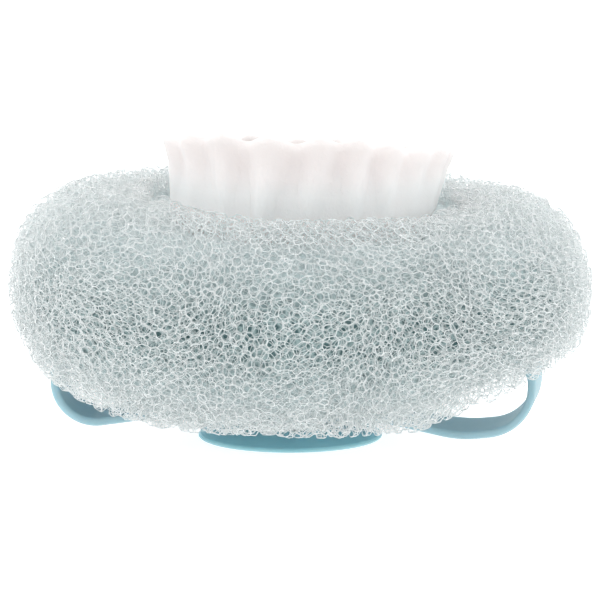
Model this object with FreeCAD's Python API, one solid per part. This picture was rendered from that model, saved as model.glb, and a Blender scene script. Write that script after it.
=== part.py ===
"""Bath scrubber: an open-cell foam bun with a ruffled white core, clamped on a hub that
also carries two finger straps and a suction cup.  Millimetres, +Z up, the cup's lip on z = 0.
The origin is under the middle of the foam bun."""
import FreeCAD, Part
import math
import os

V = FreeCAD.Vector
Z_AXIS = V(0, 0, 1)
Y_AXIS = V(0, 1, 0)

# ---- driving dimensions -------------------------------------------------------------
bun_r = 75.0             # outside radius of the foam bun
crest_r = 52.0           # radius of the bun's highest circle
crest_z = 66.0           # height of the bun's highest circle
girth_z = 40.0           # height where the bun is widest
belly_r = 48.0           # radius of the bun's lowest circle
belly_z = 9.0            # height of the bun's lowest circle
well_r = 27.0            # radius of the well in the bun's middle
right_hollow_z = 20.5    # height of the hollow over the right strap loop's end
left_hollow_z = 17.0     # height of the hollow over the left strap loop's end
hub_x = -3.0             # the hub stands this far off the bun's middle

cup_r = 23.6             # suction cup, rim radius
cup_lip = 1.1            # lip thickness
cup_lip_flat = 1.6       # width of the lip's flat face
cup_top_z = 3.2          # top of the cup's dome, where the spool stands
cup_recess = 1.7         # depth of the hollow under the cup
cup_neck_r = 3.2
cup_head_r = 4.4
cup_head_z = (5.0, 7.6)  # the head that snaps into the spool

spool_flange_r = 11.0
spool_flange = 1.4       # flange thickness
post_r = 6.0             # the post that carries the strap eyes and the foam web
socket_wall = 0.2        # clearance round the cup's neck and head

strap_t = 2.1            # strap thickness
layer_pitch = 2.2        # height between the strap ends stacked on the post
strap_w = 15.0           # strap width
strap_edge = 0.7         # rounding along the strap's edges
eye_r = 10.0             # outside radius of the eye at each strap end
flex_u = 24.8            # distance from the hub where a strap starts to flex
flex_gap = 0.35          # gap between a strap's fixed root and its free loop
bend_r = 30.0            # radius of a strap's gentle bends

washer_t = 0.9           # washer between the straps and the foam
washer_r = 11.5
web_t = 4.0              # foam web squeezed between washer and clamp plate
plate_r = 16.0
plate_t = 2.6
rivet_r = 2.0
rivet_head_r = 4.6
rivet_head_t = 1.2
rivet_length = 10.0      # shank length below the plate's counterbore
drain_count = 6          # drain holes in the clamp plate
drain_r = 1.5
drain_circle_r = 11.0

tie_r = 9.0              # ring that gathers the web round the post
tie_tube = 0.9

core_top_z = 76.0        # top of the outer ruffle
core_floor_z = 27.0      # the ruffles stand on the base pad here
pad_r = 24.0
binding_z = 31.0         # thread that binds the ruffles together
binding_tube = 0.6

soft_gap = 0.6           # clearance of the foam round a strap loop
fit_gap = 0.05           # clearance of a pressed or threaded-on piece

# ---- heights that follow ------------------------------------------------------------
flange_top = cup_top_z + spool_flange
eye_z = [flange_top + (layer + 0.5) * layer_pitch for layer in range(4)]
washer_z = flange_top + 4 * layer_pitch
web_z = washer_z + washer_t
plate_z = web_z + web_t
plate_top = plate_z + plate_t


def save(shape, node):
    """Write one node's STEP file, after making sure that it is sound."""
    if not shape.isValid():
        raise ValueError(node + " is not a valid shape")
    shape.exportStep("parts/" + node + ".step")


def on_hub(shape):
    """Move a shape made on the Z axis to the hub's axis."""
    shape.translate(V(hub_x, 0, 0))
    return shape


def disc(radius, low, high):
    """A plain cylinder on the Z axis between two heights."""
    return Part.makeCylinder(radius, high - low, V(0, 0, low), Z_AXIS)


def washer(outer, inner, low, high):
    """A flat ring on the Z axis between two heights."""
    return disc(outer, low, high).cut(disc(inner, low - 1, high + 1))


def torus(radius, tube, height):
    """A round ring on the Z axis."""
    return Part.makeTorus(radius, tube, V(0, 0, height), Z_AXIS)


def turned(points):
    """Turn a closed outline of straight runs, given as (radius, height), about the Z axis."""
    corners = [V(r, 0, z) for r, z in points]
    wire = Part.makePolygon(corners + [corners[0]])
    return Part.Face(wire).revolve(V(0, 0, 0), Z_AXIS, 360)


def round_edges(shape, radius, chosen):
    """Fillet the edges that the test picks."""
    edges = [edge for edge in shape.Edges if chosen(edge)]
    return shape.makeFillet(radius, edges)


# ---- strap: a belt that runs round circles ------------------------------------------
def heading_between(first, second):
    """Heading of the straight run from one circle (u, z, radius, turn) to the next."""
    (u1, z1, r1, turn1), (u2, z2, r2, turn2) = first, second
    distance = math.hypot(u2 - u1, z2 - z1)
    bearing = math.atan2(z2 - z1, u2 - u1)
    return bearing - math.asin((turn2 * r2 - turn1 * r1) / distance)


def touch(circle, heading, side):
    """Point of the belt on a circle at a heading, moved to the belt's left by side."""
    u, z, radius, turn = circle
    reach = side - turn * radius
    return u - reach * math.sin(heading), z + reach * math.cos(heading)


def belt_edges(circles, side):
    """Edges of the belt line round the circles, moved to its left by side.
    A circle of radius 0 is an end of the belt.  turn is 1 to the left and -1 to the right."""
    headings = [heading_between(a, b) for a, b in zip(circles, circles[1:])]
    edges = []
    for i, heading in enumerate(headings):
        start = touch(circles[i], heading, side)
        end = touch(circles[i + 1], heading, side)
        edges.append(Part.makeLine(V(start[0], 0, start[1]), V(end[0], 0, end[1])))
        if i + 1 < len(headings):
            u, z, radius, turn = circles[i + 1]
            sweep = (headings[i + 1] - heading) * turn % (2 * math.pi)
            middle = heading + turn * sweep / 2
            points = [end, touch(circles[i + 1], middle, side),
                      touch(circles[i + 1], headings[i + 1], side)]
            edges.append(Part.Arc(*[V(p[0], 0, p[1]) for p in points]).toShape())
    return edges


def joined_face(first, second):
    """The face between two belt lines that start and end beside each other."""
    starts = [edges[0].Vertexes[0].Point for edges in (first, second)]
    ends = [edges[-1].Vertexes[-1].Point for edges in (first, second)]
    caps = [Part.makeLine(starts[0], starts[1]), Part.makeLine(ends[0], ends[1])]
    wire = Part.Wire(Part.__sortEdges__(first + second + caps))
    return Part.Face(wire)


def band(circles):
    """The whole strap, from eye to eye, with its long edges rounded."""
    face = joined_face(belt_edges(circles, strap_t / 2), belt_edges(circles, -strap_t / 2))
    face.translate(V(0, -strap_w / 2, 0))
    strip = face.extrude(V(0, strap_w, 0))

    def on_a_side(edge):
        box = edge.BoundBox
        flat = box.YLength < 1e-6
        level_end = box.XLength < 1e-6
        return flat and not level_end
    return round_edges(strip, strap_edge, on_a_side)


def pocket(circles):
    """The space that a strap loop needs in the foam, its finger gap included."""
    rim = belt_edges(circles, -strap_t / 2 - soft_gap)
    close = Part.makeLine(rim[0].Vertexes[0].Point, rim[-1].Vertexes[-1].Point)
    face = Part.Face(Part.Wire(Part.__sortEdges__(rim + [close])))
    half = strap_w / 2 + soft_gap
    face.translate(V(0, -half, 0))
    return face.extrude(V(0, 2 * half, 0))


def end_of_belt(level):
    """The belt's end over the hub's axis at a height."""
    return (0.0, level, 0.0, 1)


# Each strap dips beside the hub, sweeps up in a wide curl, turns back through a tight one
# and runs in over the fingers to the hub.
right_circles = [
    end_of_belt(eye_z[0]),
    (20.0, eye_z[0] - bend_r, bend_r, -1),
    (46.2, 1.35 + bend_r, bend_r, 1),
    (50.6, 13.6, 11.9, 1),
    (56.1, 14.6, 6.4, 1),
    (16.0, eye_z[3] + bend_r, bend_r, -1),
    end_of_belt(eye_z[3]),
]
left_circles = [
    end_of_belt(eye_z[1]),
    (24.0, eye_z[1] - bend_r, bend_r, -1),
    (49.7, 15.3, 10.5, 1),
    (55.1, 16.8, 5.0, 1),
    (20.0, eye_z[2] + bend_r, bend_r, -1),
    end_of_belt(eye_z[2]),
]


def beyond(low_u):
    """A block that covers everything further out than a distance from the hub."""
    return Part.makeBox(100, 60, 60, V(low_u, -30, -10))


def strap_pieces(circles, low, high):
    """The strap's free loop, and its fixed root: two tabs with an eye each, one above the other."""
    strap = band(circles)
    loop = strap.common(beyond(flex_u)).Solids[0]
    root = strap.cut(beyond(flex_u - flex_gap))
    tabs = []
    for tab, level in zip(sorted(root.Solids, key=lambda s: s.CenterOfMass.z), (low, high)):
        eye = disc(eye_r, level - strap_t / 2, level + strap_t / 2)
        hole = disc(post_r + fit_gap, level - strap_t, level + strap_t)
        tabs.append(tab.fuse(eye).removeSplitter().cut(hole))
    return loop, Part.makeCompound(tabs)


def turn_to_left(shape):
    """Swing a shape made on the right of the hub round to its left."""
    shape.rotate(V(0, 0, 0), Z_AXIS, 180)
    return shape


# ---- foam bun -----------------------------------------------------------------------
def quarter(center, across, up, start, end):
    """A quarter ellipse in the section plane, from one point to the other."""
    if across >= up:
        curve = Part.Ellipse(V(center[0] + across, 0, center[1]),
                             V(center[0], 0, center[1] + up), V(center[0], 0, center[1]))
    else:
        curve = Part.Ellipse(V(center[0], 0, center[1] + up),
                             V(center[0] + across, 0, center[1]), V(center[0], 0, center[1]))
    a = curve.parameter(V(start[0], 0, start[1]))
    b = curve.parameter(V(end[0], 0, end[1]))
    if (b - a) % (2 * math.pi) > math.pi:
        a, b = b, a
    if b < a:
        b += 2 * math.pi
    return curve.toShape(a, b)


def bun_section():
    """Half section of the bun: a fat round ring with a thin web across its well."""
    upper = crest_z - girth_z
    lower = girth_z - belly_z
    well_foot = 6.0          # rounding at the foot of the well
    girth = (bun_r, girth_z)
    crest = (crest_r, crest_z)
    belly = (belly_r, belly_z)
    brim = (well_r, girth_z)
    foot = (well_r, plate_z + well_foot)
    floor = (well_r - well_foot, plate_z)
    inset = well_foot * (1 - math.sqrt(0.5))
    corner = (foot[0] - inset, floor[1] + inset)
    web_top = (0, plate_z)
    web_bottom = (0, web_z)
    under_washer = (washer_r - hub_x + 0.5, web_z)

    def point(place):
        return V(place[0], 0, place[1])

    def line(a, b):
        return Part.makeLine(point(a), point(b))
    edges = [
        quarter((crest_r, girth_z), bun_r - crest_r, upper, girth, crest),
        quarter((crest_r, girth_z), crest_r - well_r, upper, crest, brim),
        line(brim, foot),
        Part.Arc(point(foot), point(corner), point(floor)).toShape(),
        line(floor, web_top),
        line(web_top, web_bottom),
        line(web_bottom, under_washer),
        line(under_washer, belly),
        quarter((belly_r, girth_z), bun_r - belly_r, lower, belly, girth),
    ]
    return Part.Face(Part.Wire(Part.__sortEdges__(edges)))


def hollow_over_loop(apex_z):
    """The broad shallow hollow that a strap loop presses into the bun's underside: a big
    cylinder, apex_z high over the loop's end, that rises away from the hub."""
    radius = 100.0
    slope = math.radians(7.0)
    apex_u = 54.0
    inwards = 40.0
    along = V(math.cos(slope), 0, math.sin(slope))
    below = V(math.sin(slope), 0, -math.cos(slope)) * radius
    start = V(apex_u, 0, apex_z) + below - along * inwards
    return Part.makeCylinder(radius, inwards + bun_r, start, along)


def foam_bun():
    """The bun, with its hollows for the strap loops and its groove for the gather tie."""
    bun = bun_section().revolve(V(0, 0, 0), Z_AXIS, 360)
    tools = [
        on_hub(hollow_over_loop(right_hollow_z)),
        on_hub(turn_to_left(hollow_over_loop(left_hollow_z))),
        on_hub(pocket(right_circles)),
        on_hub(turn_to_left(pocket(left_circles))),
        on_hub(disc(post_r + fit_gap, web_z - 1, plate_z + 1)),
        on_hub(torus(tie_r, tie_tube + fit_gap, web_z + web_t / 2)),
    ]
    for tool in tools:
        bun = bun.cut(tool)
    return bun


# ---- hub ----------------------------------------------------------------------------
def suction_cup():
    """A shallow dome with a thin lip, hollow underneath, and a snap head on top."""
    head_low, head_high = cup_head_z
    hollow_r = cup_r - cup_lip_flat
    body = turned([
        (0, cup_recess), (hollow_r * 0.4, cup_recess), (hollow_r, 0), (cup_r - 0.3, 0),
        (cup_r, 0.3), (cup_r, cup_lip - 0.4), (cup_r - 0.4, cup_lip),
        (spool_flange_r, cup_top_z), (cup_neck_r, cup_top_z), (cup_neck_r, head_low),
        (cup_head_r, head_low), (cup_head_r, head_low + 1.0), (cup_neck_r, head_high),
        (0, head_high),
    ])
    return on_hub(body)


def spool():
    """The flanged post: a socket for the cup's head below, a bore for the rivet above."""
    head_low, head_high = cup_head_z
    body = disc(spool_flange_r, cup_top_z, flange_top).fuse(disc(post_r, cup_top_z, plate_z - 0.2))
    body = body.cut(disc(cup_neck_r + socket_wall, cup_top_z - 1, head_low))
    body = body.cut(disc(cup_head_r + socket_wall, head_low - socket_wall, head_high + socket_wall))
    body = body.cut(disc(rivet_r + fit_gap, head_high, plate_z))
    return on_hub(body.removeSplitter())


def clamp_plate():
    """The round plate that holds the web down, with a counterbore and a ring of drain holes."""
    body = disc(plate_r, plate_z, plate_top)
    body = round_edges(body, 0.8, lambda e: e.BoundBox.XLength > plate_r)
    body = body.cut(disc(rivet_r + fit_gap, plate_z - 1, plate_top + 1))
    body = body.cut(disc(rivet_head_r + fit_gap, plate_top - rivet_head_t - fit_gap, plate_top + 1))
    for i in range(drain_count):
        angle = 2 * math.pi * i / drain_count
        place = V(drain_circle_r * math.cos(angle), drain_circle_r * math.sin(angle), plate_z - 1)
        body = body.cut(Part.makeCylinder(drain_r, plate_t + 2, place, Z_AXIS))
    return on_hub(body)


def clamp_rivet():
    """A push rivet: a flat head, a shank and a tapered tip."""
    head_low = plate_top - rivet_head_t
    tip = head_low - rivet_length
    body = turned([
        (0, tip), (rivet_r - 0.8, tip), (rivet_r, tip + 1.5), (rivet_r, head_low),
        (rivet_head_r, head_low), (rivet_head_r, plate_top - 0.4), (rivet_head_r - 0.4, plate_top),
        (0, plate_top),
    ])
    return on_hub(body)


# ---- core ---------------------------------------------------------------------------
def outer_ruffle():
    """The outermost ruffle: a thick flared cuff that follows the well and stands out of it."""
    wall = 7.0
    outside = [(26.2, core_floor_z), (26.2, girth_z), (27.2, 47.0), (30.0, 53.5), (34.2, 59.5),
               (36.8, core_top_z)]
    inside = [(r - wall, z) for r, z in reversed(outside)]
    cuff = turned(outside + inside)
    return cuff.cut(torus(26.2, binding_tube + fit_gap, binding_z))


def flared_cuff(foot_inner, foot_outer, top_inner, top_outer, top_z):
    """A ruffle inside the outer one: an upright foot and a flared top."""
    knee_z = 45.0
    return turned([(foot_inner, core_floor_z), (foot_outer, core_floor_z), (foot_outer, knee_z),
                   (top_outer, top_z), (top_inner, top_z), (foot_inner, knee_z)])


def core_bud():
    """The rolled strip in the middle of the ruffles."""
    return turned([(0, core_floor_z), (5.2, core_floor_z), (5.2, 45.0), (12.6, core_top_z - 5.0),
                   (9.0, core_top_z - 2.0), (0, core_top_z - 1.0)])


def main():
    os.makedirs("parts", exist_ok=True)
    save(suction_cup(), "suction_cup")
    save(spool(), "hub_spool")
    save(on_hub(washer(washer_r, post_r + fit_gap, washer_z, web_z)), "strap_washer")
    save(clamp_plate(), "clamp_plate")
    save(clamp_rivet(), "clamp_rivet")

    loop, root = strap_pieces(right_circles, eye_z[0], eye_z[3])
    save(on_hub(loop), "right_strap_loop")
    save(on_hub(root), "right_strap_root")
    loop, root = strap_pieces(left_circles, eye_z[1], eye_z[2])
    save(on_hub(turn_to_left(loop)), "left_strap_loop")
    save(on_hub(turn_to_left(root)), "left_strap_root")

    save(foam_bun(), "foam_ring")
    save(on_hub(torus(tie_r, tie_tube, web_z + web_t / 2)), "foam_gather_tie")

    save(disc(pad_r, plate_top + 0.2, core_floor_z), "core_base_pad")
    save(outer_ruffle(), "core_outer_ruffle")
    save(flared_cuff(12.0, 18.9, 21.5, 28.5, core_top_z - 0.8), "core_middle_ruffle")
    save(flared_cuff(5.5, 11.7, 14.0, 20.5, core_top_z - 1.5), "core_inner_ruffle")
    save(core_bud(), "core_bud")
    save(torus(26.2, binding_tube, binding_z), "core_binding")


main()
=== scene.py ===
"""Looks of the bath scrubber: an open-cell foam bun, a ruffled white core, two finger straps
and a suction cup.  Shapes are worked out in millimetres and scaled to metres when meshed."""

import itertools
import math

import bpy
import numpy as np
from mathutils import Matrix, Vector, kdtree


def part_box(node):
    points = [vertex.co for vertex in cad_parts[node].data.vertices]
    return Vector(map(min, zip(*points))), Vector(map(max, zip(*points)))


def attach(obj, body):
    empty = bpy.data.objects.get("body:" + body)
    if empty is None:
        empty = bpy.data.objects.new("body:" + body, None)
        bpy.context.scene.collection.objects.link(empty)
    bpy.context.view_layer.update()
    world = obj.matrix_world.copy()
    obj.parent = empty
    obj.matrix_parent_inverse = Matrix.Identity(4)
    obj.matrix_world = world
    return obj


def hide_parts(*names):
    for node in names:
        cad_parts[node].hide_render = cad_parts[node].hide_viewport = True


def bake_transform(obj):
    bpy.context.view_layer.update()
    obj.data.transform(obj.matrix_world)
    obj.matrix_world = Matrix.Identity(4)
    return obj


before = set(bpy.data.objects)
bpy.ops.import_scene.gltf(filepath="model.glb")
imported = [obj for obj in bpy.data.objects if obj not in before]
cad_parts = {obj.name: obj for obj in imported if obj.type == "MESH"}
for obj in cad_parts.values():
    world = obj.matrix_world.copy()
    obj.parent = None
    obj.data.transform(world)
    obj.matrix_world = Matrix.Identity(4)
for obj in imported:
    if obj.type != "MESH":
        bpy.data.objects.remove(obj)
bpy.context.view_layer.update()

MM = 0.001
rng = np.random.default_rng(11)     # every random draw comes from here


def node_box(node):
    """Lowest and highest corner of a CAD node, in millimetres."""
    low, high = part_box(node)
    return np.array(low) / MM, np.array(high) / MM


# ---- sizes, from the CAD frame where it has them -------------------------------------
bun_low, bun_high = node_box("foam_ring")
bun_r = bun_high[0]
crest_z = bun_high[2]
belly_z = bun_low[2]
girth_z = 40.0           # the bun's widest line
crest_r = 52.0           # the ring along its top
belly_r = 48.0           # where its flat foot starts to curve up
well_r = 27.0            # the wall of the well that the core stands in

cup_low, cup_high = node_box("suction_cup")
hub_x = (cup_low[0] + cup_high[0]) / 2      # the axis of the hub and the cup
plate_z = node_box("clamp_plate")[0][2]
washer_high = node_box("strap_washer")[1]
web_z = washer_high[2]
core_top = node_box("core_outer_ruffle")[1][2]
pad_low, pad_high = node_box("core_base_pad")
pad_r = pad_high[0]
pad_top = pad_high[2]
strap_t = 2.1
strap_half = 7.5         # half the strap's width

# A strap's shape is worked out from u, the distance from the hub, and the height.  These are
# the middles of the two curls at a loop's outer end.
right_curls = ((50.6, 13.6), (56.1, 14.6))
left_curls = ((49.7, 15.3), (55.1, 16.8))


# ---- helpers -------------------------------------------------------------------------
def linear(red, green, blue):
    """A colour picked in sRGB, 0 to 255, as linear RGBA."""
    def channel(value):
        c = value / 255
        return c / 12.92 if c <= 0.04045 else ((c + 0.055) / 1.055) ** 2.4
    return (channel(red), channel(green), channel(blue), 1.0)


def smoothstep(value, low, high):
    """0 up to the low value, 1 from the high value on, and an S between them."""
    t = np.clip((value - low) / (high - low), 0, 1)
    return t * t * (3 - 2 * t)


def ripple(turn, *waves):
    """Waves round a circle, added up.  Each is (height, how many go round, phase)."""
    return sum(height * np.sin(count * turn + phase) for height, count, phase in waves)


def full_turn(count):
    """Evenly spaced angles round a circle."""
    return np.linspace(0, 2 * math.pi, count, endpoint=False)


def spun(r, turn, z, middle_x=0):
    """A grid of points at these distances and angles round an upright axis, and heights."""
    return np.stack(np.broadcast_arrays(middle_x + r * np.cos(turn), r * np.sin(turn), z), -1)


def add_mesh(name, points, corners, sides):
    """A smooth mesh object from points in millimetres, the faces' corners in one row, and each
    face's number of sides."""
    mesh = bpy.data.meshes.new(name)
    mesh.vertices.add(len(points))
    mesh.vertices.foreach_set("co", (np.asarray(points) * MM).astype(np.float32).ravel())
    mesh.loops.add(len(corners))
    mesh.loops.foreach_set("vertex_index", np.asarray(corners, np.int32))
    mesh.polygons.add(len(sides))
    starts = np.concatenate([[0], np.cumsum(sides)[:-1]])
    mesh.polygons.foreach_set("loop_start", starts.astype(np.int32))
    mesh.polygons.foreach_set("use_smooth", np.full(len(sides), True))
    mesh.update(calc_edges=True)
    obj = bpy.data.objects.new(name, mesh)
    bpy.context.scene.collection.objects.link(obj)
    return obj


def grid_quads(index):
    """The quads between the points of a grid, from the points' numbers."""
    quads = [index[:-1, :-1], index[:-1, 1:], index[1:, 1:], index[1:, :-1]]
    return np.stack(quads, -1).reshape(-1, 4)


def grid_mesh(name, grid, wrap_rows, wrap_columns):
    """A quad mesh from a grid of points (rows, columns, 3).  A direction that doesn't wrap round
    is closed with a face at each end of it."""
    rows, columns = grid.shape[:2]
    index = np.arange(rows * columns).reshape(rows, columns)
    if wrap_rows:
        index = np.concatenate([index, index[:1]])
    if wrap_columns:
        index = np.concatenate([index, index[:, :1]], axis=1)
    quads = grid_quads(index)
    corners = list(quads.ravel())
    sides = [4] * len(quads)
    if not wrap_rows:
        for cap in (index[0, :columns][::-1], index[-1, :columns]):
            corners.extend(cap)
            sides.append(columns)
    return add_mesh(name, grid.reshape(-1, 3), corners, sides)


def settle(obj):
    """Puts an object's modifiers into its mesh."""
    seen = obj.evaluated_get(bpy.context.evaluated_depsgraph_get())
    mesh = bpy.data.meshes.new_from_object(seen)
    obj.modifiers.clear()
    obj.data = mesh


# ---- the bun's shape -----------------------------------------------------------------
def ellipse_depth(across, up, half_across, half_up, power=2.0):
    """Depth below an ellipse, close to true near its line.  A power over 2 makes it squarer."""
    a = np.abs(across) / half_across
    b = np.abs(up) / half_up
    q = (a ** power + b ** power + 1e-9) ** (1 / power)
    slope = np.hypot(a ** (power - 1) / half_across, b ** (power - 1) / half_up)
    return (1 - q) / (slope / q ** (power - 1) + 1e-9)


def capsule_distance(u, z, first, second):
    """Distance outside a tapered capsule in the plane of u and z."""
    u1, z1, r1 = first
    u2, z2, r2 = second
    length2 = (u2 - u1) ** 2 + (z2 - z1) ** 2
    t = np.clip(((u - u1) * (u2 - u1) + (z - z1) * (z2 - z1)) / length2, 0, 1)
    return np.hypot(u - u1 - t * (u2 - u1), z - z1 - t * (z2 - z1)) - (r1 + t * (r2 - r1))


right_hollow_z = 20.5    # the highest point of the hollow over each strap loop
left_hollow_z = 17.0

# The slots that the strap loops fill: two tapered capsules each, from the hub outwards.
# Each end of a capsule is (u, height, radius).
right_pocket = [((20.0, 8.5, 4.5), (*right_curls[0], 14.0)),
                ((20.0, 11.0, 3.0), (*right_curls[1], 8.6))]
left_pocket = [((25.0, 8.5, 3.5), (*left_curls[0], 12.0)),
               ((25.0, 10.0, 2.2), (*left_curls[1], 6.5))]


def hollow_distance(u, y, z, apex_z):
    """Distance outside the big cylinder that stands for the hollow over a strap loop."""
    radius, apex_u, slope = 100.0, 54.0, math.radians(7.0)
    over = (z - apex_z) * math.cos(slope) - (u - apex_u) * math.sin(slope)
    return np.hypot(over + radius, y) - radius


def pocket_distance(u, y, z, hub_end, far_end):
    """Distance outside the slot that a strap loop fills."""
    gap = 0.4
    half_width = strap_half + gap
    return np.maximum(capsule_distance(u, z, hub_end, far_end), np.abs(y) - half_width)


def bun_depth(p):
    """Depth of points inside the foam bun.  It is negative outside."""
    squareness = 2.6     # of the rounded edge between the crest and the well
    web_lap = 1.0        # the web runs this far into the bun
    x, y, z = p.T
    r = np.hypot(x, y)
    up = crest_z - girth_z
    down = girth_z - belly_z
    upper_outer = ellipse_depth(r - crest_r, z - girth_z, bun_r - crest_r, up)
    upper_inner = ellipse_depth(r - crest_r, z - girth_z, crest_r - well_r, up, squareness)
    lower_outer = ellipse_depth(r - belly_r, z - girth_z, bun_r - belly_r, down)
    washer_edge = washer_high[0] - hub_x
    floor = belly_z + (web_z - belly_z) * np.clip((belly_r - r) / (belly_r - washer_edge), 0, 1)
    wall = r - well_r
    ring = np.minimum(z - floor, wall)
    web = np.minimum(z - floor, plate_z - z)
    lower_inner = np.maximum(ring, np.minimum(web, well_r + web_lap - r))
    depth = np.where(z >= girth_z, np.where(r > crest_r, upper_outer, upper_inner),
                     np.where(r > belly_r, lower_outer, lower_inner))
    u = x - hub_x
    depth = np.minimum(depth, hollow_distance(u, y, z, right_hollow_z))
    depth = np.minimum(depth, hollow_distance(-u, y, z, left_hollow_z))
    for side, capsules in ((1, right_pocket), (-1, left_pocket)):
        for hub_end, far_end in capsules:
            depth = np.minimum(depth, pocket_distance(side * u, y, z, hub_end, far_end))
    return depth


def inwards(p):
    """Unit vectors that point deeper into the bun."""
    step = 0.2
    slopes = [bun_depth(p + step * axis) - bun_depth(p - step * axis) for axis in np.eye(3)]
    gradient = np.stack(slopes, 1)
    return gradient / (np.linalg.norm(gradient, axis=1, keepdims=True) + 1e-9)


def slump(p):
    """The soft bun as it lies: its crest sags in front, behind and on the right, its left
    shoulder is full, its foot is pressed up at both ends, and it is uneven all round."""
    front_sag, back_sag, right_sag, left_rise = 3.4, 2.4, 2.8, 0.3
    right_foot_rise, left_foot_rise = 3.6, 0.3
    left_swell, shrink = 1.4, 0.5
    p = p.copy()
    x, y, z = p.T
    r = np.hypot(x, y) + 1e-9
    front = np.clip(-y / r, 0, 1) ** 2
    back = np.clip(y / r, 0, 1) ** 2
    right = np.clip(x / r, 0, 1) ** 1.5
    left = np.clip(-x / r, 0, 1) ** 1.5
    high = smoothstep(z, girth_z - 6, crest_z)
    angle = np.arctan2(y, x)
    uneven = ripple(angle, (0.4, 2, 0.6), (0.3, 5, 2.0), (0.2, 9, 0.0))
    p[:, 2] += high * (uneven - front_sag * front - back_sag * back - right_sag * right
                       + left_rise * left)
    low = 1 - smoothstep(z, belly_z, girth_z - 4)
    p[:, 2] += low * (right_foot_rise * smoothstep(x, 28, 46)
                      + left_foot_rise * smoothstep(-x, 50, 66))
    outer = smoothstep(r, 40, bun_r)
    swell = outer * (ripple(angle, (0.35, 7, z / 9), (0.25, 12, -z / 6)) - shrink
                     + left_swell * left * high)
    p[:, 0] += swell * x / r
    p[:, 1] += swell * y / r
    return p


# ---- open-cell foam ------------------------------------------------------------------
cell = 3.2               # distance across one cell
tile_cells = 12          # cells along a side of the block that repeats
tile = cell * tile_cells
strut_r = 0.132          # half thickness of a strut where it meets a node
shell = 7.0              # depth of the cells that are modelled one by one
edge_skip = 0.35 * cell  # cells with their middle nearer the surface than this are cut away
sectors = 11             # pieces that the struts are split into round the bun
hidden_r = well_r + 19   # the core hides the cells inside this radius, between these heights
hidden_low_z = plate_z + 4
hidden_high_z = crest_z - 3

# The ways to take three of a node's four cells, in order of the one left out
triples = [[k for k in range(4) if k != left_out] for left_out in range(4)]


def cell_middles():
    """Middles of the cells in one block: two staggered grids, shaken, then spread out evenly."""
    shake, least_gap, share, rounds, neighbours = 0.2 * cell, 0.87 * cell, 0.35, 4, 14
    line = np.arange(tile_cells) * cell
    grid = np.stack(np.meshgrid(line, line, line, indexing="ij"), -1).reshape(-1, 3)
    middles = np.concatenate([grid, grid + cell / 2])
    middles = (middles + rng.normal(0, shake, middles.shape)) % tile
    for _ in range(rounds):
        around, _, _, near = nearest_cells(middles, neighbours)
        apart = middles[:, None] - around[near]
        distance = np.linalg.norm(apart, axis=2, keepdims=True)
        push = np.clip(least_gap - distance, 0, None) * apart / distance
        middles = (middles + share * push.sum(1)) % tile
    return middles


def nearest_cells(middles, count):
    """The block's cells with a rim of the blocks round it: their places, their numbers and
    block steps, and which of them are the nearest to each cell."""
    rim = 3 * cell
    places, numbers, steps = [], [], []
    for step in itertools.product((-1, 0, 1), repeat=3):
        moved = middles + np.array(step) * tile
        inside = ((moved > -rim) & (moved < tile + rim)).all(1)
        places.append(moved[inside])
        numbers.append(np.flatnonzero(inside))
        steps.append(np.tile(step, (inside.sum(), 1)))
    places, numbers, steps = map(np.concatenate, (places, numbers, steps))
    tree = kdtree.KDTree(len(places))
    for i, place in enumerate(places):
        tree.insert(place, i)
    tree.balance()
    near = [[hit[1] for hit in tree.find_n(middle, count + 1)[1:]] for middle in middles]
    return places, numbers, steps, np.array(near)


def foam_nodes(middles):
    """Where four cells meet: the nodes' places, and the four cells' numbers and block steps."""
    neighbours, at_once = 22, 250
    reach = 0.95 * cell
    flat = 1e-3          # four cells that span less volume than this lie in one plane
    slack = 1 - 1e-6     # allows for rounding in the four cells' own distances
    places, numbers, steps, near = nearest_cells(middles, neighbours)
    threes = np.array(list(itertools.combinations(range(neighbours), 3)))
    owners, members, centres = [], [], []
    for start in range(0, len(middles), at_once):
        block = near[start:start + at_once]
        offset = places[block] - middles[start:start + at_once, None]
        half = (offset ** 2).sum(2) / 2
        a, b, c = (offset[:, threes[:, k]] for k in range(3))
        ha, hb, hc = (half[:, threes[:, k], None] for k in range(3))
        bc = np.cross(b, c)
        volume = (a * bc).sum(2)
        volume[np.abs(volume) < flat] = np.inf
        middle = (ha * bc + hb * np.cross(c, a) + hc * np.cross(a, b)) / volume[..., None]
        radius = (middle ** 2).sum(2)
        row, which = np.nonzero((radius < reach ** 2) & np.isfinite(volume))
        spot = middle[row, which]
        gap = ((spot[:, None] - offset[row]) ** 2).sum(2)
        empty = (gap > radius[row, which, None] * slack).all(1)
        row, which, spot = row[empty], which[empty], spot[empty]
        owners.append(row + start)
        members.append(np.take_along_axis(block[row], threes[which], 1))
        centres.append(spot + middles[row + start])
    owners, members, centres = map(np.concatenate, (owners, members, centres))
    cells = np.concatenate([owners[:, None], numbers[members]], 1)
    shifts = np.concatenate([np.zeros((len(owners), 1, 3), int), steps[members]], 1)
    once = owners == cells.min(1)
    return centres[once], cells[once], shifts[once]


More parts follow.
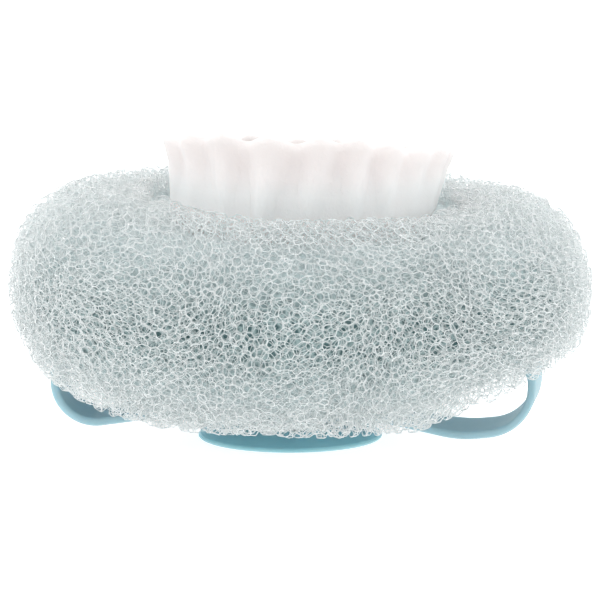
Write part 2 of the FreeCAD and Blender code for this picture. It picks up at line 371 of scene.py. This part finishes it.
def foam_struts(cells, shifts, count):
    """Struts: the pairs of nodes that share three cells.  For each: its two nodes, their block
    steps, its three cells, their block steps, and which member each cell is at either node."""
    code_span = 64       # more than any code for a pair of block steps
    keys, nodes, node_steps, face_cells, face_steps, face_members = [], [], [], [], [], []
    for kept in triples:
        ids, offs = cells[:, kept], shifts[:, kept]
        order = np.argsort(ids, axis=1)
        ids = np.take_along_axis(ids, order, 1)
        offs = np.take_along_axis(offs, order[..., None], 1)
        base = offs[:, :1]
        rel = offs - base
        code = ((rel + 1) * np.array([9, 3, 1])).sum(2)
        key = (ids[:, 0] * count + ids[:, 1]) * count + ids[:, 2]
        keys.append((key * code_span + code[:, 1]) * code_span + code[:, 2])
        nodes.append(np.arange(len(cells)))
        node_steps.append(-base[:, 0])
        face_cells.append(ids)
        face_steps.append(rel)
        face_members.append(np.array(kept)[order])
    keys, nodes, node_steps, face_cells, face_steps, face_members = map(
        np.concatenate, (keys, nodes, node_steps, face_cells, face_steps, face_members))
    order = np.argsort(keys, kind="stable")
    first = np.flatnonzero(keys[order][:-1] == keys[order][1:])
    a, b = order[first], order[first + 1]
    return (np.stack([nodes[a], nodes[b]], 1), np.stack([node_steps[a], node_steps[b]], 1),
            face_cells[a], face_steps[a], np.stack([face_members[a], face_members[b]], 1))


def relax(places, ends, end_steps, share):
    """Draw every node towards the middle of the nodes that it is joined to."""
    total = np.zeros_like(places)
    count = np.zeros(len(places))
    for here, there in ((0, 1), (1, 0)):
        step = (end_steps[:, there] - end_steps[:, here]) * tile
        np.add.at(total, ends[:, here], places[ends[:, there]] + step)
        np.add.at(count, ends[:, here], 1)
    mean = total / np.maximum(count, 1)[:, None]
    return np.where(count[:, None] > 0, places + share * (mean - places), places)


def seeded_waves():
    """Waves for the wobble: length, height, and for each axis a direction and a phase."""
    made = []
    for length, height in ((61.0, 1.1), (43.0, 0.8), (29.0, 0.5)):
        directions = rng.normal(size=(3, 3))
        directions /= np.linalg.norm(directions, axis=1, keepdims=True)
        made.append((length, height, directions, rng.uniform(0, 6, 3)))
    return made


waves = seeded_waves()


def wobble(p):
    """Bends the repeated blocks gently, so that their pattern doesn't show."""
    q = p.copy()
    for length, height, directions, phases in waves:
        for axis in range(3):
            turns = p @ directions[axis] / length
            q[:, axis] += height * np.sin(2 * math.pi * turns + phases[axis])
    return q


def wanted_cell(places):
    """True for the cells of the bun's outer shell.  The well's wall is left to the body behind
    it, because the core hides it."""
    depth = bun_depth(places)
    x, y, z = places.T
    r = np.hypot(x, y)
    behind_core = (r < hidden_r) & (z > hidden_low_z) & (z < hidden_high_z)
    return (depth > edge_skip) & (depth < shell) & ~behind_core


def foam_net():
    """The bun's net: node places, each node's four corner directions, and for each strut its
    two nodes and its corners at either end."""
    rounds, share = 3, 0.3
    middles = cell_middles()
    centres, cells, shifts = foam_nodes(middles)
    ends, end_steps, faces, face_steps, members = foam_struts(cells, shifts, len(middles))
    for _ in range(rounds):
        centres = relax(centres, ends, end_steps, share)

    # Repeat the block all over the bun, and keep the struts that border on a wanted cell.
    reach = int(math.ceil(bun_r / tile)) + 2
    line = np.arange(-reach, reach)
    blocks = np.stack(np.meshgrid(line, line, line, indexing="ij"), -1).reshape(-1, 3)
    places = wobble((middles[None] + blocks[:, None] * tile).reshape(-1, 3))
    kept = wanted_cell(places).reshape(len(line), len(line), len(line), -1)
    kept_parts = []
    for block in blocks[(np.abs(blocks + 0.5) < reach - 1).all(1)]:
        at = face_steps + block + reach
        wanted = kept[at[..., 0], at[..., 1], at[..., 2], faces].any(1)
        if wanted.any():
            kept_parts.append((ends[wanted], end_steps[wanted] + block, members[wanted]))
    ends, steps, corners = map(np.concatenate, zip(*kept_parts))

    # Struts that meet share one node.
    span = 4 * reach
    keys = ends
    for axis in range(3):
        keys = keys * span + steps[..., axis] + 2 * reach
    keys, first, strut_nodes = np.unique(keys, return_index=True, return_inverse=True)
    node = ends.ravel()[first]
    step = steps.reshape(-1, 3)[first]
    place = centres[node] + step * tile
    site = middles[cells[node]] + (shifts[node] + step[:, None]) * tile
    towards = site - place[:, None]
    towards /= np.linalg.norm(towards, axis=2, keepdims=True)
    return wobble(place), towards, strut_nodes.reshape(-1, 2), corners


def draw_in(places):
    """Nodes that stand out of the bun's surface are drawn most of the way back to it."""
    share = 0.6
    depth = bun_depth(places)
    out = depth < 0
    moved = places.copy()
    moved[out] -= inwards(places[out]) * (share * depth[out])[:, None]
    return moved


def strut_mesh(name, places, towards, ends, corners):
    """One closed mesh of struts: each node has four corners, and each strut is a prism between
    three corners at one node and three at the other.  A node's side with no strut is capped."""
    thinnest, thickest = 0.85, 1.2
    used, local = np.unique(ends, return_inverse=True)
    local = local.reshape(-1, 2)
    radius = strut_r * rng.uniform(thinnest, thickest, len(used))
    points = places[used][:, None] + towards[used] * radius[:, None, None]

    # The struts' sides.  a and b are a strut's corners at either end, in the same order.
    a = local[:, 0, None] * 4 + corners[:, 0]
    b = local[:, 1, None] * 4 + corners[:, 1]
    flat = points.reshape(-1, 3)
    across = np.cross(flat[a[:, 1]] - flat[a[:, 0]], flat[a[:, 2]] - flat[a[:, 0]])
    along = places[ends[:, 1]] - places[ends[:, 0]]
    flip = (across * along).sum(1) < 0
    a[flip] = a[flip][:, ::-1]
    b[flip] = b[flip][:, ::-1]
    quads = [np.stack([a[:, k], a[:, (k + 1) % 3], b[:, (k + 1) % 3], b[:, k]], 1) for k in range(3)]
    quads = np.concatenate(quads)

    # The caps, each turned to face away from its node.
    joined = np.zeros((len(used), 4), bool)
    for end in range(2):
        corner_left_out = sum(range(4)) - corners[:, end].sum(1)
        joined[local[:, end], corner_left_out] = True
    node, side = np.nonzero(~joined)
    caps = node[:, None] * 4 + np.array(triples)[side]
    normal = np.cross(flat[caps[:, 1]] - flat[caps[:, 0]], flat[caps[:, 2]] - flat[caps[:, 0]])
    outwards = flat[caps].mean(1) - places[used][node]
    turned = (normal * outwards).sum(1) < 0
    caps[turned] = caps[turned][:, ::-1]
    all_corners = np.concatenate([quads.ravel(), caps.ravel()])
    sides = np.concatenate([np.full(len(quads), 4), np.full(len(caps), 3)])
    return add_mesh(name, flat, all_corners, sides)


def foam_body():
    """The closed body behind the modelled cells.  It lies closer to the surface at the well's
    wall, where the core hides it.  It starts as a plain ring, and its points find their depth."""
    ring_r, ring_z, half_wide, half_high = 51, 38, 14, 16
    lap, nearer = 0.2, 4.0
    rounds = 6
    turn, bend = np.meshgrid(full_turn(240), full_turn(96), indexing="ij")
    r = ring_r + half_wide * np.cos(bend)
    z = ring_z + half_high * np.sin(bend)
    at_wall = smoothstep(hidden_r - r, 0, 6) * (1 - smoothstep(z, girth_z, girth_z + 10))
    depth = (shell - lap - nearer * at_wall).ravel()
    grid = spun(r, turn, z)
    points = grid.reshape(-1, 3)
    for _ in range(rounds):
        points = points + inwards(points) * (depth - bun_depth(points))[:, None]
    points = slump(points)
    return grid_mesh("foam_body", points.reshape(grid.shape), True, True)


def foam_web_body():
    """The flat ring of dense foam inside the web across the bun's foot."""
    inner_r, outer_r, edge = 10.0, well_r + 1.5, 0.8
    middle_z = plate_z - 1.4
    bend = full_turn(24)
    side = np.where(np.cos(bend) > 0, outer_r - edge, inner_r + edge)
    r = side + edge * np.cos(bend)
    z = middle_z + edge * np.sin(bend)
    return grid_mesh("foam_web_body", spun(r, full_turn(120)[:, None], z), True, True)


def build_foam(strut_material, body_material):
    """The bun: two bodies inside it, and the net of struts, split into sectors."""
    made = [foam_body(), foam_web_body()]
    for body in made:
        body.data.materials.append(body_material)
    places, towards, ends, corners = foam_net()
    places = slump(draw_in(places))
    middle = (places[ends[:, 0]] + places[ends[:, 1]]) / 2
    around = np.arctan2(middle[:, 1], middle[:, 0]) / (2 * math.pi) + 0.5
    sector = (around * sectors).astype(int)
    for number in range(sectors):
        here = sector % sectors == number
        piece = strut_mesh(f"foam_struts_{number + 1}", places, towards, ends[here], corners[here])
        piece.data.materials.append(strut_material)
        made.append(piece)
    for piece in made:
        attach(piece, "root")
        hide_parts("foam_ring")


# ---- the core's ruffles --------------------------------------------------------------
def surface_normals(sheet):
    """Unit normals of a sheet of points (around, up, 3) that wraps round."""
    around = np.roll(sheet, -1, 0) - np.roll(sheet, 1, 0)
    up = np.gradient(sheet, axis=1)
    normal = np.cross(around, up)
    return normal / np.linalg.norm(normal, axis=2, keepdims=True)


def thick_sheet(name, sheet, foot_t, lip_t):
    """A closed wall round a sheet of points (around, up, 3), with both edges rounded."""
    normal = surface_normals(sheet)
    steps = sheet.shape[1]
    half = np.linspace(foot_t, lip_t, steps)[None, :, None] / 2
    outer = sheet + normal * half
    inner = sheet - normal * half
    edges = []
    for end, way in ((-1, 1), (0, -1)):
        out = sheet[:, end] - sheet[:, end - way]
        out /= np.linalg.norm(out, axis=1, keepdims=True)
        rounded = []
        for turn in np.linspace(0, math.pi, 8)[1:-1]:
            side = math.cos(turn) * way * normal[:, end] + math.sin(turn) * out
            rounded.append(sheet[:, end] + side * half[:, end])
        edges.append(np.stack(rounded, 1))
    lip, foot = edges
    grid = np.concatenate([outer, lip, inner[:, ::-1], foot], 1)
    return grid_mesh(name, grid, True, True)


def along(profile, steps):
    """Points spaced evenly along a line of (r, z) corners."""
    profile = np.array(profile)
    gap = np.linalg.norm(np.diff(profile, axis=0), axis=1)
    place = np.concatenate([[0], np.cumsum(gap)])
    at = np.linspace(0, place[-1], steps)
    return np.interp(at, place, profile[:, 0]), np.interp(at, place, profile[:, 1])


core_x = 1.3             # the core's middle sits this far to the right of the bun's
fold_z = 56.0            # the folds start here
rim_tilt = 0.125         # slope of the core's rim, down towards the back
tip_r = 0.05             # a round cap starts from a ring this small


def ruffle(name, profile, lobes, sway, foot_t, lip_t):
    """A wall of soft foam whose upper part spreads into folds, fuller towards the lip.  The
    folds of all the walls are in step, as they are gathered from one stack."""
    steps, steps_per_lobe = 44, 26
    softness = 0.5       # of the crease between two folds
    rise, left_rise = 1.4, 1.5      # of the lip; the right side falls by as much as the left rises
    r, z = along(profile, steps)
    h = z[None]
    turn = full_turn(lobes * steps_per_lobe)[:, None]
    grow = smoothstep(h, fold_z, core_top - 3)
    lean = ripple(turn, (0.8, 2, 1.0), (0.9, 5, 0.4))
    phase = lobes * turn + ripple(turn, (0.7, 2, 2.0), (0.5, 5, 4.0)) + lean * grow
    size = 1 + ripple(turn, (0.25, 3, 0.5), (0.2, 7, 2.5))
    fold = size * np.sin(phase)
    above = fold - (1 - 2 * grow)
    bulge = (above + np.sqrt(above ** 2 + softness)) / 2
    radius = r[None] + sway * (bulge - grow) + grow * ripple(turn, (0.4, 4, 1.7))
    lift = grow ** 2 * (0.7 * fold + ripple(turn, (0.4, 6, 3.0)) + rise
                        - left_rise * np.cos(turn))
    tilt = -rim_tilt * grow * radius * np.sin(turn)
    sheet = spun(radius, turn, h + lift + tilt, core_x * grow)
    return thick_sheet(name, sheet, foot_t, lip_t)


def core_bud(name, foot_r, top_r, foot_z, top_z):
    """The rolled middle of the core: a lobed knob with a hollow in its top."""
    around, steps, rounds = 180, 60, 4
    outline = [(0, foot_z), (foot_r, foot_z), (top_r * 0.8, top_z - 10), (top_r, top_z - 4),
               (top_r * 0.9, top_z - 1), (top_r * 0.6, top_z), (top_r * 0.3, top_z - 2.5),
               (0, top_z - 4)]
    r, z = along(outline, steps)
    for _ in range(rounds):
        r[1:-1] = (r[:-2] + 2 * r[1:-1] + r[2:]) / 4
        z[1:-1] = (z[:-2] + 2 * z[1:-1] + z[2:]) / 4
    r = np.maximum(r, tip_r)[None]
    turn = full_turn(around)[:, None]
    grow = smoothstep(z, foot_z + 10, top_z)[None]
    lobed = 1 + grow * ripple(turn, (0.13, 5, 0.09 * z[None]), (0.05, 11, 0.0))
    height = z[None] + grow * ripple(turn, (0.6, 3, 1.0))
    grid = spun(r * lobed, turn, height, core_x)
    return grid_mesh(name, np.swapaxes(grid, 0, 1), False, True)


def core_pad(name, radius, low, high):
    """The crowned disc under the ruffles."""
    crown = 0.5
    edge = (high - low) / 2
    middle = (high + low) / 2
    bend = np.linspace(-math.pi / 2, math.pi / 2, 14)
    r = np.concatenate([[tip_r, radius / 2], radius - edge + edge * np.cos(bend),
                        [radius / 2, tip_r]])[:, None]
    z = np.concatenate([[low, low], middle + edge * np.sin(bend),
                        [high + 0.8 * crown, high + crown]])[:, None]
    return grid_mesh(name, spun(r, full_turn(120), z), False, True)


def build_core(material):
    """The white core: three ruffles, the bud in the middle and the pad below."""
    foot = pad_top + 2
    lip = core_top - 2.8
    # Each wall's line from its foot to its lip, as (radius, height)
    outer = [(22.7, foot), (22.7, 40), (25.0, 47), (28.0, 53.5), (32.0, 59.0),
             (32.6, lip - 4.2), (34.0, lip)]
    middle = [(15.6, foot), (18.5, 50), (25.2, lip)]
    inner = [(9.2, foot), (11.5, 50), (17.6, lip)]
    pieces = [
        (ruffle("outer_ruffle", outer, lobes=19, sway=1.5, foot_t=3.6, lip_t=3.0),
         "core_outer_ruffle"),
        (ruffle("middle_ruffle", middle, lobes=17, sway=1.3, foot_t=3.2, lip_t=2.8),
         "core_middle_ruffle"),
        (ruffle("inner_ruffle", inner, lobes=11, sway=1.5, foot_t=3.2, lip_t=2.6),
         "core_inner_ruffle"),
        (core_bud("bud", foot_r=5.2, top_r=10.8, foot_z=pad_top + 0.4, top_z=core_top - 2),
         "core_bud"),
        (core_pad("base_pad", pad_r, low=pad_low[2], high=pad_top), "core_base_pad"),
    ]
    for piece, node in pieces:
        piece.data.materials.append(material)
        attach(piece, "root")
        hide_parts(node)


# ---- straps --------------------------------------------------------------------------
edge_round = 0.75
eye_r = 10.0             # the round ends that stack on the hub
eye_hole_r = 6.05
eye_ring_r = 7.9         # a ring of points between the eye's hole and its rim
eye_z = (5.7, 7.9, 10.1, 12.3)   # the stacked ends: right, left, left, right
bend_r = 30.0            # the gentle bends beside the hub
right_low_z = 1.35       # the right loop's lowest line
roll = 0.07              # a loop's far edge is this much higher, for each mm across the strap


def belt_line(circles):
    """Points along a belt that runs round circles of (u, z, radius, turn).  A turn is 1 to the
    left and -1 to the right, and a circle of radius 0 is an end of the belt."""
    pitch = 0.5
    headings = []
    for (u1, z1, r1, turn1), (u2, z2, r2, turn2) in zip(circles, circles[1:]):
        apart = math.hypot(u2 - u1, z2 - z1)
        bearing = math.atan2(z2 - z1, u2 - u1)
        headings.append(bearing - math.asin((turn2 * r2 - turn1 * r1) / apart))
    corners = []
    for i, (u, z, radius, turn) in enumerate(circles):
        before = headings[max(i - 1, 0)]
        after = headings[min(i, len(headings) - 1)]
        sweep = (after - before) * turn % (2 * math.pi) if radius else 0
        count = max(2, int(sweep * radius / pitch) + 2) if radius else 1
        for heading in before + turn * np.linspace(0, sweep, count):
            corners.append((u + turn * radius * math.sin(heading),
                            z - turn * radius * math.cos(heading)))
    return np.array(corners)


def belt_points(circles, pitch):
    """Evenly spaced points along the whole belt: how far along, u and z."""
    tiny = 1e-6          # keeps the places apart where two corners meet
    corners = belt_line(circles)
    gap = np.linalg.norm(np.diff(corners, axis=0), axis=1)
    place = np.concatenate([[0], np.cumsum(gap)]) + tiny * np.arange(len(corners))
    at = np.linspace(0, place[-1], int(place[-1] / pitch))
    return at, np.interp(at, place, corners[:, 0]), np.interp(at, place, corners[:, 1])


def flat_strap(at):
    """A strap laid flat, from the eye at one end to the eye at the other, with rows of points
    at the given lengths: how far along and across each point is, and the faces."""
    margin = eye_r + 0.5
    length = at[-1]
    across = np.linspace(-1, 1, 17)
    level = np.ones_like(across)
    eye_edge = np.sqrt(eye_r ** 2 - (strap_half * across) ** 2)
    keep = (at > margin) & (at < length - margin)
    rows = [eye_edge] + [s * level for s in at[keep]] + [length - eye_edge]
    flat_s = np.stack(rows)
    flat_y = np.broadcast_to(strap_half * across, flat_s.shape)
    points_s, points_y = [flat_s.ravel()], [flat_y.ravel()]
    index = np.arange(flat_s.size).reshape(flat_s.shape)
    faces = list(grid_quads(index))

    # The eyes.  Each one's rim goes on from the strap's last row, and rings lie inside it.
    count = flat_s.size
    spread = math.asin(strap_half / eye_r)
    rest = np.linspace(spread, 2 * math.pi - spread, 40)[1:-1]
    for end, middle, way in ((0, 0.0, 1), (-1, length, -1)):
        rim_s = middle + way * eye_r * np.cos(rest)
        rim_y = eye_r * np.sin(rest)
        ring = np.concatenate([index[end], count + np.arange(len(rest))])
        points_s.append(rim_s)
        points_y.append(rim_y)
        count += len(rest)
        angle = np.concatenate([np.arcsin(strap_half * across / eye_r), rest])
        for radius in (eye_ring_r, eye_hole_r):
            inner = count + np.arange(len(ring))
            points_s.append(middle + way * radius * np.cos(angle))
            points_y.append(radius * np.sin(angle))
            count += len(ring)
            quads = np.stack([ring, inner, np.roll(inner, -1), np.roll(ring, -1)], 1)
            faces.extend(quads if way > 0 else quads[:, ::-1])
            ring = inner
    return np.concatenate(points_s), np.concatenate(points_y), np.array(faces)


def strap(name, circles, side, skew, shift):
    """One strap: a flat one bent into its shape and thickened.  Its loop is shifted along u,
    and skewed and rolled across its width, as soft rubber hangs."""
    at, u, z = belt_points(circles, pitch=0.6)
    length = at[-1]
    s, y, faces = flat_strap(at)
    u_at = np.interp(s, at, u) + np.minimum(s, 0) - np.maximum(s - length, 0)
    z_at = np.interp(s, at, z)
    y_at = side * y
    looseness = smoothstep(u_at, 20, 45)
    from_front = (y_at + strap_half) * looseness
    x_at = hub_x + side * (u_at + shift * looseness) + skew * from_front
    points = np.stack([x_at, y_at, z_at + roll * from_front], 1)
    obj = add_mesh(name, points, faces.ravel(), np.full(len(faces), 4))
    solid = obj.modifiers.new("thickness", "SOLIDIFY")
    solid.thickness = strap_t * MM
    solid.offset = 0
    solid.use_even_offset = True
    rounded = obj.modifiers.new("edges", "BEVEL")
    rounded.width = edge_round * MM
    rounded.segments = 4
    rounded.limit_method = "ANGLE"
    rounded.angle_limit = math.radians(50)
    settle(obj)
    return obj


def build_straps(material):
    """Both straps.  Each one is fixed at the hub and bends over into its loop's body."""
    right = [(0.0, eye_z[0], 0.0, 1), (20.0, eye_z[0] - bend_r, bend_r, -1),
             (46.2, right_low_z + bend_r, bend_r, 1),
             (*right_curls[0], 11.9, 1), (*right_curls[1], 6.4, 1),
             (16.0, eye_z[3] + bend_r, bend_r, -1), (0.0, eye_z[3], 0.0, 1)]
    left = [(0.0, eye_z[1], 0.0, 1), (24.0, eye_z[1] - bend_r, bend_r, -1),
            (*left_curls[0], 10.5, 1), (*left_curls[1], 5.0, 1),
            (20.0, eye_z[2] + bend_r, bend_r, -1), (0.0, eye_z[2], 0.0, 1)]
    for name, circles, side, skew, shift in (("right", right, 1, 0.18, -1.0),
                                             ("left", left, -1, 0.105, 0.0)):
        piece = strap(f"{name}_strap", circles, side, skew, shift)
        piece.data.materials.append(material)
        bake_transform(piece)
        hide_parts(f"{name}_strap_root", f"{name}_strap_loop")


# ---- materials, with colours in sRGB, 0 to 255 ---------------------------------------
strut_rgb = (235, 246, 247)
# The deep foam's dark cells are painted shade of the foam's depth. Its lines are the deeper struts
# as they look in that shade.
deep_shade_rgb = (88, 117, 119)
deep_line_rgb = (176, 196, 197)
painted_light_rgb = (218, 229, 230)       # painted light on the deep foam near the crest and the foot
core_rgb = (254, 245, 244)
# The core's lips are painted darker, as painted shade against the light that falls on its top.
core_lip_shade_rgb = (218, 213, 212)
strap_rgbs = ((157, 186, 194), (165, 193, 201))
cup_rgbs = ((153, 196, 205), (161, 203, 211))
plastic_rgbs = ((205, 216, 218), (222, 230, 231))
thread_rgbs = ((196, 206, 206), (240, 243, 243))


def material(name, color, roughness, **inputs):
    """A material and its Principled shader.  Other inputs are named with _ for each space."""
    mat = bpy.data.materials.new(name)
    mat.use_nodes = True
    shader = mat.node_tree.nodes["Principled BSDF"]
    shader.inputs["Base Color"].default_value = color
    shader.inputs["Roughness"].default_value = roughness
    for key, value in inputs.items():
        shader.inputs[key.replace("_", " ")].default_value = value
    return mat, shader


def add_node(mat, kind, **settings):
    """A new node, with values for its inputs and for its own settings."""
    node = mat.node_tree.nodes.new(kind)
    for key, value in settings.items():
        if key in node.inputs:
            node.inputs[key].default_value = value
        else:
            setattr(node, key, value)
    return node


def join(mat, output, socket):
    mat.node_tree.links.new(output, socket)


def placed_node(mat, kind, **settings):
    """A new node that is fed the shaded point, in the object's own metres."""
    place = add_node(mat, "ShaderNodeTexCoord").outputs["Object"]
    node = add_node(mat, kind, **settings)
    join(mat, place, node.inputs["Vector"])
    return node


def height_above_floor(mat):
    """The height of the shaded point, in metres."""
    return placed_node(mat, "ShaderNodeSeparateXYZ").outputs["Z"]


def remap(mat, value, low, high, to_low, to_high):
    """A value moved from one range to another, and kept inside it."""
    node = add_node(mat, "ShaderNodeMapRange")
    join(mat, value, node.inputs["Value"])
    for key, number in (("From Min", low), ("From Max", high), ("To Min", to_low),
                        ("To Max", to_high)):
        node.inputs[key].default_value = number
    return node.outputs["Result"]


def grain(mat, scale):
    """Fine noise, with this many grains to the metre."""
    return placed_node(mat, "ShaderNodeTexNoise", Scale=scale, Detail=2.0).outputs["Fac"]


def cloud(mat, scale, low, high):
    """The same noise, spread over a range of values."""
    return remap(mat, grain(mat, scale), 0.3, 0.7, low, high)


def tint(mat, factor, dark, light):
    """A colour between two by a factor.  Either colour may be another node's output."""
    mix = add_node(mat, "ShaderNodeMix", data_type="RGBA")
    join(mat, factor, mix.inputs["Factor"])
    for key, color in (("A", dark), ("B", light)):
        if isinstance(color, tuple):
            mix.inputs[key].default_value = color
        else:
            join(mat, color, mix.inputs[key])
    return mix.outputs["Result"]


def bump(mat, shader, height, strength, distance):
    """Makes the surface look uneven by a height from 0 to 1, this many metres deep."""
    node = add_node(mat, "ShaderNodeBump", Strength=strength, Distance=distance)
    join(mat, height, node.inputs["Height"])
    join(mat, node.outputs["Normal"], shader.inputs["Normal"])


def strut_material():
    """The foam's struts: pale, and so thin that light comes through them."""
    mat, shader = material("foam_strut", linear(*strut_rgb), 0.6, Subsurface_Weight=1.0,
                           Subsurface_Radius=(1, 1, 1), Subsurface_Scale=0.6 * MM)
    join(mat, cloud(mat, 900, 0.5, 0.75), shader.inputs["Roughness"])
    return mat


def deep_foam_material():
    """The net that is too deep to be modelled: pale lines round darker cells, whose darkness is
    painted shade.
    It is darkest at one height, and paler above and below, as painted light through the thin foam
    near the crest and the foot."""
    seen_cell = 2.1
    darkest_z, pale_from, pale_to = 36, 3, 20
    # The base colour is painted shade: the dark of the foam's shaded depth.
    mat, shader = material("deep_foam", linear(*deep_shade_rgb), 0.9)
    lines = placed_node(mat, "ShaderNodeTexVoronoi", feature="DISTANCE_TO_EDGE",
                        Scale=1 / (seen_cell * MM))
    on_line = remap(mat, lines.outputs["Distance"], 0.05, 0.25, 1.0, 0.0)
    # Painted light: the deep foam grows paler with distance from darkest_z, towards the crest and
    # the foot.
    rise = add_node(mat, "ShaderNodeMath", operation="SUBTRACT")
    join(mat, height_above_floor(mat), rise.inputs[0])
    rise.inputs[1].default_value = darkest_z * MM
    distance = add_node(mat, "ShaderNodeMath", operation="ABSOLUTE")
    join(mat, rise.outputs[0], distance.inputs[0])
    pale = remap(mat, distance.outputs[0], pale_from * MM, pale_to * MM, 0.0, 1.0)
    cells = tint(mat, pale, linear(*deep_shade_rgb), linear(*painted_light_rgb))
    lines_color = tint(mat, pale, linear(*deep_line_rgb), linear(*painted_light_rgb))
    color = tint(mat, on_line, cells, lines_color)
    join(mat, color, shader.inputs["Base Color"])
    bump(mat, shader, on_line, 0.6, 0.6 * MM)
    return mat


def core_material():
    """The core's fine-celled foam: light spreads far in it, and its lips are a little darker, as
    painted shade.
    """
    lip_from_z, lip_to_z = 66, 80
    pore = 0.5
    mat, shader = material("core_foam", linear(*core_rgb), 0.75, Subsurface_Weight=1.0,
                           Subsurface_Radius=(1.0, 0.95, 0.93), Subsurface_Scale=6 * MM)
    # Painted shade: the colour darkens towards the lips.
    near_lip = remap(mat, height_above_floor(mat), lip_from_z * MM, lip_to_z * MM, 0.0, 1.0)
    color = tint(mat, near_lip, linear(*core_rgb), linear(*core_lip_shade_rgb))
    join(mat, color, shader.inputs["Base Color"])
    pores = placed_node(mat, "ShaderNodeTexVoronoi", Scale=1 / (pore * MM))
    bump(mat, shader, pores.outputs["Distance"], 0.35, 0.2 * MM)
    return mat


def rubber_material(name, colors, roughness):
    """Smooth plastic or rubber: softly clouded between two colours, with a satin surface."""
    uneven = 0.07
    dark, light = (linear(*color) for color in colors)
    mat, shader = material(name, light, roughness, Subsurface_Weight=0.7,
                           Subsurface_Radius=(0.7, 0.9, 1.0), Subsurface_Scale=4 * MM,
                           Specular_IOR_Level=0.15)
    color = tint(mat, cloud(mat, 60, 0.0, 1.0), dark, light)
    join(mat, color, shader.inputs["Base Color"])
    satin = cloud(mat, 700, roughness - uneven, roughness + uneven)
    join(mat, satin, shader.inputs["Roughness"])
    bump(mat, shader, grain(mat, 350), 0.05, 0.1 * MM)
    return mat


def thread_material():
    """Thread: fine slanting strands."""
    dark, light = (linear(*color) for color in thread_rgbs)
    mat, shader = material("thread", light, 0.8)
    twist = placed_node(mat, "ShaderNodeTexWave", Scale=700.0, Distortion=1.0).outputs["Fac"]
    join(mat, tint(mat, twist, dark, light), shader.inputs["Base Color"])
    bump(mat, shader, twist, 0.8, 0.3 * MM)
    return mat


def floor_material():
    """Pale paper that glows a little, so that the shadow on it stays faint."""
    dark, light, white = ((level, level, level, 1) for level in (0.48, 0.52, 1))
    mat, shader = material("floor_paper", light, 0.85, Emission_Color=white,
                           Emission_Strength=0.8)
    color = tint(mat, cloud(mat, 300, 0.0, 1.0), dark, light)
    join(mat, color, shader.inputs["Base Color"])
    return mat


# ---- the object ----------------------------------------------------------------------
build_foam(strut_material(), deep_foam_material())
build_core(core_material())
build_straps(rubber_material("strap_rubber", strap_rgbs, 0.6))
cup = rubber_material("cup_vinyl", cup_rgbs, 0.45)
plastic = rubber_material("hub_plastic", plastic_rgbs, 0.45)
thread = thread_material()
for node, finish in (("suction_cup", cup), ("hub_spool", plastic), ("strap_washer", plastic),
                     ("clamp_plate", plastic), ("clamp_rivet", plastic),
                     ("foam_gather_tie", thread), ("core_binding", thread)):
    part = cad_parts[node]
    part.data.materials.clear()
    part.data.materials.append(finish)


# ---- stage ---------------------------------------------------------------------------
def add_floor():
    """A plain floor, in metres, that runs out of sight."""
    half = 30.0
    mesh = bpy.data.meshes.new("floor")
    corners = [(-half, -half, 0), (half, -half, 0), (half, half, 0), (-half, half, 0)]
    mesh.from_pydata(corners, [], [(0, 1, 2, 3)])
    floor = bpy.data.objects.new("floor", mesh)
    bpy.context.scene.collection.objects.link(floor)
    mesh.materials.append(floor_material())


def add_light(name, place, size, power):
    """A square soft light that faces the bun.  Its place and size are in metres."""
    data = bpy.data.lights.new(name, "AREA")
    data.size = size
    data.energy = power
    lamp = bpy.data.objects.new(name, data)
    lamp.location = place
    aim = Vector((0, 0, girth_z * MM)) - Vector(place)
    lamp.rotation_euler = aim.to_track_quat("-Z", "Y").to_euler()
    lamp.visible_camera = False
    bpy.context.scene.collection.objects.link(lamp)


def add_camera():
    """A camera a metre in front of the bun and a little above it."""
    view_width = 0.1536      # what the picture takes in at the bun, in metres
    data = bpy.data.cameras.new("camera")
    camera = bpy.data.objects.new("camera", data)
    bpy.context.scene.collection.objects.link(camera)
    aim = Vector((-0.5, 0, 35.3)) * MM
    place = Vector((-0.5, -1000, 190)) * MM
    camera.location = place
    camera.rotation_euler = (aim - place).to_track_quat("-Z", "Y").to_euler()
    data.sensor_width = 36
    data.lens = data.sensor_width * (aim - place).length / view_width
    data.clip_start = 0.05
    bpy.context.scene.camera = camera


def add_world():
    """White light from all round."""
    world = bpy.data.worlds.new("studio")
    world.use_nodes = True
    background = world.node_tree.nodes["Background"]
    background.inputs["Color"].default_value = (1, 1, 1, 1)
    background.inputs["Strength"].default_value = 1.0
    bpy.context.scene.world = world


add_floor()
add_camera()
add_world()
add_light("left", (-1.3, 0.2, 0.7), 1.0, 3)
add_light("right", (1.3, 0.2, 0.7), 1.0, 3)
add_light("overhead", (0.0, 0.5, 1.8), 3.0, 7)
add_light("back", (0.0, 1.6, 0.35), 1.2, 10)
add_light("front", (-0.3, -1.4, 0.7), 1.0, 1)
bpy.context.scene.view_settings.view_transform = "Standard"
